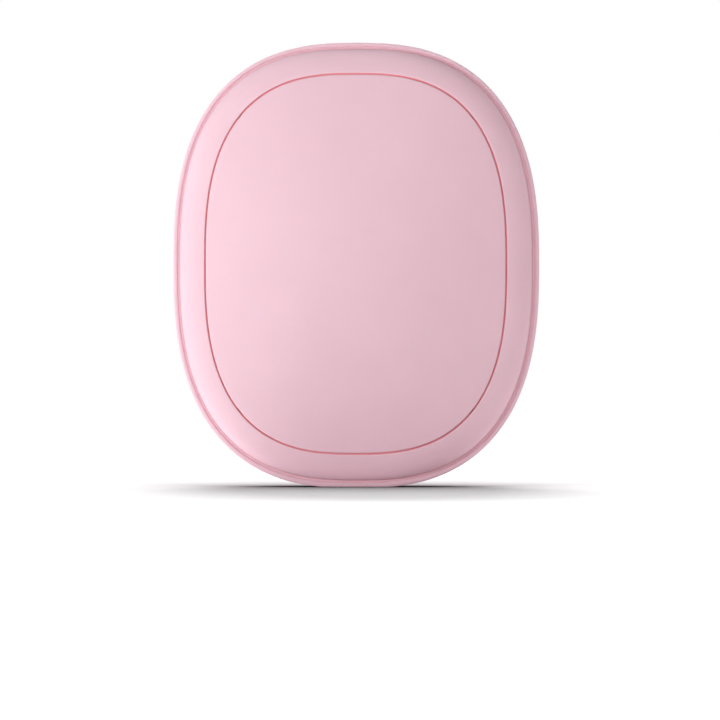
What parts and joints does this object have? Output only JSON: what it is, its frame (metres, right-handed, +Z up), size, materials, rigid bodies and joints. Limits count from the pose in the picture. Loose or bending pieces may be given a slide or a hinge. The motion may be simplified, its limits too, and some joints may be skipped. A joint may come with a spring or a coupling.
{
  "type": "rechargeable hand warmer",
  "caption": "Pebble-shaped rechargeable hand warmer with a rim, a domed heating panel on each face, a charging socket, a push button and status lights in its top edge.",
  "frame": {"origin": "middle of the small flat on the lower edge that it stands on, which is the bottom centre of its box", "axes": "+Z up along its height, +X to the right seen from the front, +Y to the rear, so the front panel faces -Y"},
  "size_m": [0.07, 0.0254, 0.085],
  "materials": {
    "pink_plastic": "satin",
    "white_plastic": "satin",
    "black_plastic": "matte",
    "clear_plastic": "gloss",
    "heater_film": "satin",
    "foam": "matte",
    "cell_foil": "satin",
    "nickel": "satin",
    "steel": "satin",
    "circuit_board": "satin",
    "ferrite": "matte",
    "ceramic": "satin",
    "led": "gloss",
    "red_silicone": "satin",
    "black_silicone": "satin",
    "white_silicone": "satin",
    "sensor_glass": "gloss"
  },
  "bodies": {
    "case": {"middle_frame": "pink_plastic", "front_shell": "pink_plastic", "rear_shell": "pink_plastic", "front_panel": "pink_plastic", "rear_panel": "pink_plastic", "inner_carrier": "white_plastic", "case_screw_1": "steel", "case_screw_2": "steel", "case_screw_3": "steel", "case_screw_4": "steel", "front_heater_film": "heater_film", "rear_heater_film": "heater_film", "front_foam_pad": "foam", "rear_foam_pad": "foam", "front_heater_lead_1": "red_silicone", "front_heater_lead_2": "white_silicone", "rear_heater_lead_1": "red_silicone", "rear_heater_lead_2": "white_silicone", "front_temperature_sensor": "sensor_glass", "rear_temperature_sensor": "sensor_glass", "front_sensor_lead": "black_silicone", "rear_sensor_lead": "black_silicone", "battery_cell": "cell_foil", "battery_tab_positive": "nickel", "battery_tab_negative": "nickel", "battery_guard_board": "circuit_board", "battery_lead_positive": "red_silicone", "battery_lead_negative": "black_silicone", "main_board": "circuit_board", "charging_socket_shell": "nickel", "charging_socket_insert": "black_plastic", "switch_base": "black_plastic", "switch_spring": "steel", "light_guide": "clear_plastic", "charge_chip": "black_plastic", "control_chip": "black_plastic", "power_inductor": "ferrite", "front_heater_transistor": "black_plastic", "rear_heater_transistor": "black_plastic", "input_capacitor": "ceramic", "output_capacitor": "ceramic", "status_led_1": "led", "status_led_2": "led", "status_led_3": "led", "status_led_4": "led", "board_screw_1": "steel", "board_screw_2": "steel"},
    "button": {"power_button": "pink_plastic"},
    "plunger": {"switch_plunger": "white_plastic"}
  },
  "joints": [
    {"name": "button_press", "type": "slide", "parent": "case", "child": "button", "axis": [0, 0, -1], "range_m": [0, 0.0004], "stiffness_N_per_m": 500, "springref_m": -0.002},
    {"name": "plunger_press", "type": "slide", "parent": "case", "child": "plunger", "axis": [0, 0, -1], "range_m": [0, 0.0005], "deforming": ["switch_spring"]}
  ],
  "couplings": [
    {"joint": "plunger_press", "follows": "button_press", "ratio": 1}
  ]
}
